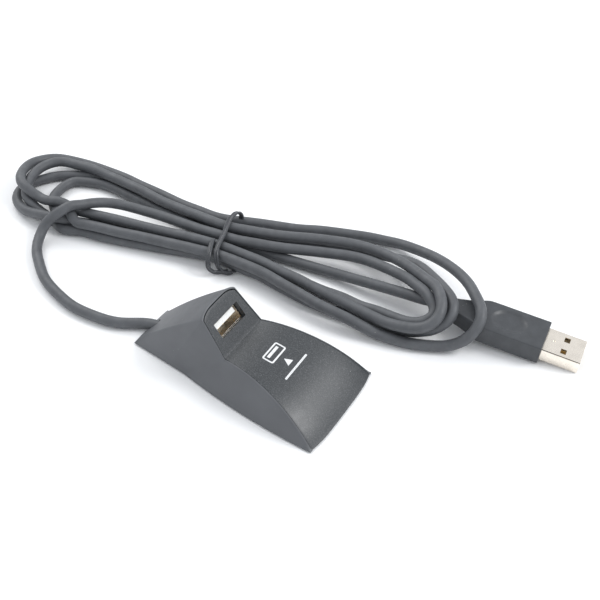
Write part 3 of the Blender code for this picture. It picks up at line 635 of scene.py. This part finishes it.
def build_cover(plastic):
    stations = face_stations(0.0)
    insets = [RAMP_INSET + (COVER_INSET - RAMP_INSET) * max(0, i - RAMP_ROWS + 3) / (BEZEL_ROWS + 3)
              for i in range(len(stations))]
    top_rows = surface_rows(stations, 0.0, insets)
    bottom_rows = surface_rows(stations, -COVER, insets, SKIRT_Z)
    for p, q in zip(bottom_rows[0], top_rows[0]):
        p.y = q.y - 0.6
    bm, top = grid_solid(top_rows, bottom_rows)
    sides = [[row[0] for row in top], [row[-1] for row in top]]
    bevel_lines(bm, [*sides, top[0], top[-1], top[RAMP_ROWS]], 0.22)
    cover = new_piece("dock_face_cover", bm, plastic, angle=25.0)
    window = new_piece("cutter", box_mesh((*CUTOUT, 12.0), (0, 0, 0)), matrix=bezel_frame())
    cut(cover, window)
    cover.data.shade_smooth()
    cover.data.set_sharp_from_angle(angle=math.radians(25.0))
    return place(cover, "face_cover", slot="cover_plastic")


# ---------------------------------------------------------------------------------------------
# Lead
# ---------------------------------------------------------------------------------------------


def smooth_line(points, steps=16):
    """A smooth curve through the points."""
    p = np.asarray(points, float)
    ends = np.vstack([2 * p[0] - p[1], p, 2 * p[-1] - p[-2]])
    t = np.linspace(0.0, 1.0, steps, endpoint=False)[:, None]
    spans = [
        0.5 * (2 * b + (c - a) * t + (2 * a - 5 * b + 4 * c - d) * t**2 + (3 * b - a - 3 * c + d) * t**3)
        for a, b, c, d in zip(ends, ends[1:], ends[2:], ends[3:])
    ]
    return np.vstack([*spans, p[-1:]])


def even_spacing(line, spacing):
    steps = np.linalg.norm(np.diff(line, axis=0), axis=1)
    walked = np.concatenate([[0.0], np.cumsum(steps)])
    count = int(round(walked[-1] / spacing))
    wanted = np.linspace(0.0, walked[-1], count + 1)
    return np.stack([np.interp(wanted, walked, line[:, k]) for k in range(3)], axis=1)


def nearby_pairs(line, reach, apart):
    """Index pairs of points within reach of each other that aren't neighbours along the line."""
    squared = ((line[:, None, :] - line[None, :, :]) ** 2).sum(axis=2)
    first, second = np.nonzero(np.triu(squared < reach**2, apart))
    return first, second


def settle(line, diameter, rounds=260, loose_rounds=80):
    """Push crossing and neighbouring strands apart until they only touch, above the table."""
    start = line.copy()
    index = np.arange(len(line))
    apart = int(3.0 * diameter / np.linalg.norm(line[1] - line[0]))
    from_tie = np.linalg.norm(line[:, :2] - TIE_CENTRE, axis=1)
    lowest = diameter / 2 + TIE_LIFT * np.exp(-((from_tie / 16.0) ** 4))
    pinned = (index < 8) | (index > len(line) - 6)
    for turn in range(rounds):
        loose = turn >= rounds - loose_rounds
        if turn % 10 == 0:
            first, second = nearby_pairs(line, diameter + 2.0, apart)
        gap = line[first] - line[second]
        length = np.sqrt((gap**2).sum(axis=1)) + 1e-6
        push = gap / length[:, None] * np.maximum(diameter - length, 0.0)[:, None] * 0.3
        shift = np.zeros_like(line)
        hits = np.full(len(line), 1e-6)
        for side, sign in ((first, 1.0), (second, -1.0)):
            np.add.at(shift, side, sign * push)
            np.add.at(hits, side, (length < diameter) * 1.0)
        line = line + shift / np.maximum(hits, 1.0)[:, None] * 1.6
        for pull in (0.33, -0.34):
            middle = (line[:-2] + line[2:]) / 2
            line[1:-1] += (middle - line[1:-1]) * pull
        line += (start - line) * (0.004 if loose else 0.05)
        line[:, 2] = np.maximum(line[:, 2], lowest)
        line[pinned] = start[pinned]
    return line


def lead_line():
    route = DOCK_RUN + FIRST_TURN + SECOND_TURN + THIRD_TURN + FOURTH_TURN + PLUG_RUN
    line = even_spacing(smooth_line(route), 1.5)
    return even_spacing(settle(line, LEAD_DIAMETER + 0.05), 1.5)


def curve_piece(name, line, radius, material, resolution=5):
    curve = bpy.data.curves.new(name, "CURVE")
    curve.dimensions = "3D"
    curve.bevel_depth = radius * MM
    curve.bevel_resolution = resolution
    curve.use_fill_caps = True
    spline = curve.splines.new("POLY")
    spline.points.add(len(line) - 1)
    flat = np.hstack([line * MM, np.ones((len(line), 1))]).ravel()
    spline.points.foreach_set("co", flat)
    spline.use_smooth = True
    piece = bpy.data.objects.new(name, curve)
    bpy.context.scene.collection.objects.link(piece)
    curve.materials.append(material)
    return piece


def build_lead(rubber):
    line = lead_line()
    lead = curve_piece("lead", line, LEAD_DIAMETER / 2, rubber)
    place(lead, "lead_dock_side", "lead_hank", slot="lead_rubber")
    return line


# ---------------------------------------------------------------------------------------------
# Twist tie
# ---------------------------------------------------------------------------------------------


def tie_ring(centre, tangent, outward):
    """A flat ribbon's section with a raised rib along each edge."""
    side = tangent.cross(outward).normalized()
    face = side.cross(tangent).normalized()
    half = TIE_WIDTH / 2
    ring = []
    for k in range(36):
        angle = 2 * math.pi * k / 36
        across = math.cos(angle)
        rib = math.exp(-(((abs(across) - 0.68) / 0.22) ** 2))
        up = math.sin(angle)
        thickness = (0.2 + 0.3 * rib) * math.copysign(min(1.0, 2.2 * abs(up)), up)
        ring.append(centre + side * half * across + face * thickness)
    return ring


def build_tie(vinyl):
    line = [Vector(p) for p in even_spacing(smooth_line(TIE_ROUTE), 0.6)]
    middle = Vector((*TIE_CENTRE, 4.4))
    along = Vector(TIE_ALONG)
    rings = []
    for i, p in enumerate(line):
        tangent = (line[min(i + 1, len(line) - 1)] - line[max(i - 1, 0)]).normalized()
        radial = p - middle
        radial -= along * radial.dot(along)
        rings.append(tie_ring(p, tangent, (radial - tangent * radial.dot(tangent)).normalized()))
    tie = new_piece("tie", loft_rings(rings), vinyl, angle=60.0)
    return place(tie, "twist_tie", slot="tie_vinyl")


# ---------------------------------------------------------------------------------------------
# Plug
# ---------------------------------------------------------------------------------------------


def plug_matrix():
    turn = Matrix.Rotation(PLUG_HEADING, 4, "Z") @ Matrix.Rotation(-PLUG_DIP, 4, "Y")
    return Matrix.Translation(PLUG_PLACE) @ turn


def section_ring(along, half_width, half_height, lift=0.0, corner=0.45, flats=26, bends=5):
    """A rounded rectangle across the plug, with points along its flats too."""
    corners = []
    for quarter, (sy, sz) in enumerate(((1, 1), (-1, 1), (-1, -1), (1, -1))):
        bend = []
        for i in range(bends + 1):
            angle = math.pi / 2 * (quarter + i / bends)
            y = sy * (half_width - corner) + corner * math.cos(angle)
            z = sz * (half_height - corner) + corner * math.sin(angle)
            bend.append(Vector((along, y, z + lift)))
        corners.append(bend)
    ring = []
    for bend, following, count in zip(corners, corners[1:] + corners[:1], (flats, 4, flats, 4)):
        ring += bend
        ring += [bend[-1].lerp(following[0], k / count) for k in range(1, count)]
    return ring


def press_dent(ring):
    """Sink the thumb dent into the top of the overmould."""
    for p in ring:
        across = (p.y - DENT_PLACE[1]) / DENT_HALF[1]
        along = (p.x - DENT_PLACE[0]) / DENT_HALF[0]
        inside = 1.0 - across**2 - along**2
        if inside > 0.0 and p.z > 1.0:
            p.z -= DENT_DEPTH * (1.0 - (1.0 - inside) ** 3)
    return ring


def build_overmould(rubber):
    sections = even_spacing(smooth_line(OVERMOULD_SECTIONS, 6), 0.45)
    front = sections[0]
    rings = [section_ring(0.0, front[1] - 0.25, front[2] - 0.25, OVERMOULD_LIFT)]
    for a, w, h in sections:
        lift = OVERMOULD_LIFT * max(0.0, 1.0 + a / 40.0)
        rings.append(press_dent(section_ring(a - 0.15, w, h, lift, min(0.45, 0.2 * h))))
    overmould = new_piece("overmould", loft_rings(rings), rubber, plug_matrix(), angle=45.0)
    length = PLUG_BURIED + GAP
    pocket = box_mesh(
        (length + 5.0, PLUG_SHELL[0] + 0.14, PLUG_SHELL[1] + 0.14),
        (2.5 - length / 2, 0, 0),
        0.5,
    )
    cut(overmould, new_piece("cutter", pocket, matrix=plug_matrix()))
    overmould.data.shade_smooth()
    overmould.data.set_sharp_from_angle(angle=math.radians(45.0))
    return place(overmould, "plug_overmould", slot="overmould_rubber")


def paint_seam_shade(shell, shadow):
    """Paint shade into the butt seam: its two walls get a dark dull metal that stands in for the shade in
    the narrow slot.
    """
    shell.data.materials.append(shadow)
    to_plug = plug_matrix().inverted()
    margin = 0.01
    top = PLUG_SHELL[1] / 2
    for face in shell.data.polygons:
        centre = to_plug @ (shell.matrix_world @ face.center / MM)
        across = abs(centre.y - SEAM_Y) <= SEAM_WIDTH / 2 + margin
        if across and top - SEAM_DEPTH - margin < centre.z < top - 2 * margin:
            face.material_index = 1


def build_plug_shell(metal, shadow):
    """A folded sheet-metal sleeve: latch holes, a coined dimple and the butt seam along one edge."""
    width, height = PLUG_SHELL
    length = PLUG_REACH + PLUG_BURIED
    middle = (PLUG_REACH - PLUG_BURIED) / 2
    matrix = plug_matrix()
    blank = box_mesh((length, width, height), (middle, 0, 0), 0.12, 3)
    shell = new_piece("shell", blank, metal, matrix)
    bore_size = (length + 4.0, width - 2 * PLUG_METAL, height - 2 * PLUG_METAL)
    cutters = [box_mesh(bore_size, (middle, 0, 0), 0.2)]
    cutters += [box_mesh((2.0, 2.3, 3.0), (7.0, y, height / 2)) for y in (-2.95, 2.95)]
    cutters.append(box_mesh((length + 1.0, SEAM_WIDTH, 2 * SEAM_DEPTH), (middle, SEAM_Y, height / 2)))
    cutters.append(cylinder_mesh(0.42, (3.0, 0.35, height / 2 - 0.16), (3.0, 0.35, height / 2 + 1.0)))
    cut(shell, *[new_piece("cutter", m, matrix=matrix) for m in cutters])
    # painted shade: the seam walls take the dark metal in place of their real shade
    paint_seam_shade(shell, shadow)
    shell.data.shade_smooth()
    shell.data.set_sharp_from_angle(angle=math.radians(30.0))
    return place(shell, "plug_shell", slot="nickel")


# ---------------------------------------------------------------------------------------------
# Printed pictogram on the ramp: a socket outline, an arrow towards it and a rule
# ---------------------------------------------------------------------------------------------


def ramp_point(x, ahead, lift):
    y, z, half, bow, _, _, _ = ramp_station(1.0 - ahead / (CREASE_Y - LIP_Y))
    slope = (ahead - RAMP_APEX) / RAMP_RADIUS
    normal = Vector((0.0, -slope, math.sqrt(1.0 - slope**2)))
    return Vector((x, y, z)) + bow * (1.0 - (x / half) ** 4) + normal * lift


def outline(half_width, half_length, corner, steps=5):
    loop = []
    for quarter, (sx, sy) in enumerate(((1, 1), (-1, 1), (-1, -1), (1, -1))):
        for i in range(steps + 1):
            angle = math.pi / 2 * (quarter + i / steps)
            x = sx * (half_width - corner) + corner * math.cos(angle)
            y = sy * (half_length - corner) + corner * math.sin(angle)
            loop.append((x, y))
    return loop


def ink_band(bm, outer, inner, centre):
    """A closed band of ink between two loops of the same number of points."""
    ahead = centre
    rings = []
    for loop, lift in ((outer, 0.03), (inner, 0.03), (inner, -0.02), (outer, -0.02)):
        rings.append([bm.verts.new(ramp_point(x, ahead - y, lift)) for x, y in loop])
    count = len(outer)
    for near, far in zip(rings, rings[1:] + rings[:1]):
        for k in range(count):
            n = (k + 1) % count
            bm.faces.new((near[k], near[n], far[n], far[k]))


def build_pictogram(ink):
    bm = bmesh.new()
    ink_band(bm, outline(4.3, 2.1, 0.7), outline(3.75, 1.55, 0.3), 12.0)
    ink_band(bm, outline(2.9, 0.5, 0.15), outline(0.3, 0.02, 0.01), 11.5)
    arrow_outer = [(0.0, 1.5), (-1.5, -1.0), (1.5, -1.0)]
    arrow_inner = [(0.0, 0.02), (-0.02, -0.02), (0.02, -0.02)]
    ink_band(bm, arrow_outer, arrow_inner, 17.2)
    ink_band(bm, outline(6.6, 0.32, 0.3), outline(6.2, 0.02, 0.01), 20.2)
    print_piece = new_piece("pictogram", bm, ink, angle=30.0)
    return place(print_piece, slot="socket_plastic")


# ---------------------------------------------------------------------------------------------
# Light and table
# ---------------------------------------------------------------------------------------------


def add_area_light(name, location, target, size, power, colour=(1.0, 1.0, 1.0)):
    data = bpy.data.lights.new(name, "AREA")
    data.shape = "DISK"
    data.size = size
    data.energy = power
    data.color = colour
    light = bpy.data.objects.new(name, data)
    light.location = location
    direction = Vector(target) - Vector(location)
    light.rotation_euler = direction.to_track_quat("-Z", "Y").to_euler()
    bpy.context.scene.collection.objects.link(light)


def add_studio():
    bm = bmesh.new()
    bmesh.ops.create_grid(bm, x_segments=2, y_segments=2, size=3000.0)
    floor = new_piece("table", bm, table_material())
    floor.location = (0.0, 0.0, -0.0002)
    world = bpy.data.worlds.new("studio")
    world.use_nodes = True
    background = world.node_tree.nodes["Background"]
    background.inputs["Color"].default_value = WORLD_COLOUR
    background.inputs["Strength"].default_value = WORLD_STRENGTH
    bpy.context.scene.world = world
    add_area_light("key", KEY_PLACE, (0.03, 0.0, 0.0), KEY_SIZE, KEY_POWER, (1.0, 0.99, 0.97))
    add_area_light("fill", FILL_PLACE, (0.03, 0.0, 0.0), FILL_SIZE, FILL_POWER)
    bpy.context.scene.view_settings.view_transform = "Standard"


# ---------------------------------------------------------------------------------------------
# Assembly
# ---------------------------------------------------------------------------------------------


def give_material(prefix, material):
    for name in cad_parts:
        if name.startswith(prefix):
            node = bpy.data.objects[name]
            node.data.materials.clear()
            node.data.materials.append(material)


def main():
    add_camera()
    housing_plastic = moulded_plastic("housing_plastic", (0.104, 0.109, 0.118), 0.5)
    cover_plastic = moulded_plastic(
        "cover_plastic", (0.032, 0.036, 0.04), 0.38, 0.014, 0.16, Specular_IOR_Level=0.6
    )
    lead_rubber = soft_pvc("lead_rubber", (0.088, 0.093, 0.101), 0.52)
    overmould_rubber = soft_pvc("overmould_rubber", (0.05, 0.054, 0.06), 0.4)
    nickel = plated_metal("nickel", (0.93, 0.86, 0.765), 0.25, (1.0, 8.0, 1.0))
    gold = plated_metal("contact_gold", (0.9, 0.68, 0.34), 0.35)
    white = plain_plastic("socket_plastic", (0.95, 0.95, 0.93), 0.42)
    give_material("socket_shell", nickel)
    give_material("socket_contact", gold)
    give_material("plug_contact", gold)
    give_material("socket_tongue", white)
    give_material("socket_rear_cap", white)
    give_material("plug_tongue", plain_plastic("plug_plastic", (0.5, 0.42, 0.28), 0.5))
    give_material("lead_grommet", lead_rubber)
    give_material("base_plate", moulded_plastic("base_plastic", (0.03, 0.03, 0.032), 0.6))
    give_material("foot", soft_pvc("foot_rubber", (0.02, 0.02, 0.02), 0.85))
    give_material("base_screw", plated_metal("zinc_steel", (0.6, 0.6, 0.62), 0.35))
    give_material("ballast_weight", plated_metal("ballast_steel", (0.5, 0.5, 0.51), 0.45))
    give_material("circuit_board", board_material())
    for wire, colour in (
        ("power", (0.5, 0.02, 0.02)),
        ("data_minus", (0.8, 0.8, 0.78)),
        ("data_plus", (0.02, 0.3, 0.06)),
        ("ground", (0.02, 0.02, 0.02)),
    ):
        give_material("conductor_" + wire, plain_plastic("wire_" + wire, colour, 0.45))
    build_housing(housing_plastic)
    build_cover(cover_plastic)
    build_pictogram(plain_plastic("print_white", (0.78, 0.79, 0.8), 0.5))
    tie = build_tie(plain_plastic("tie_vinyl", (0.055, 0.058, 0.065), 0.3))
    overmould = build_overmould(overmould_rubber)
    # the dark seam material is painted shade for the narrow butt seam, not a real finish
    shell = build_plug_shell(nickel, plated_metal("seam_painted_shade", (0.06, 0.05, 0.045), 0.6))
    on_the_lead = [overmould, shell, tie, "plug_tongue"]
    on_the_lead += ["plug_contact_" + name for name in ("power", "data_minus", "data_plus", "ground")]
    build_lead(lead_rubber)
    add_studio()


main()
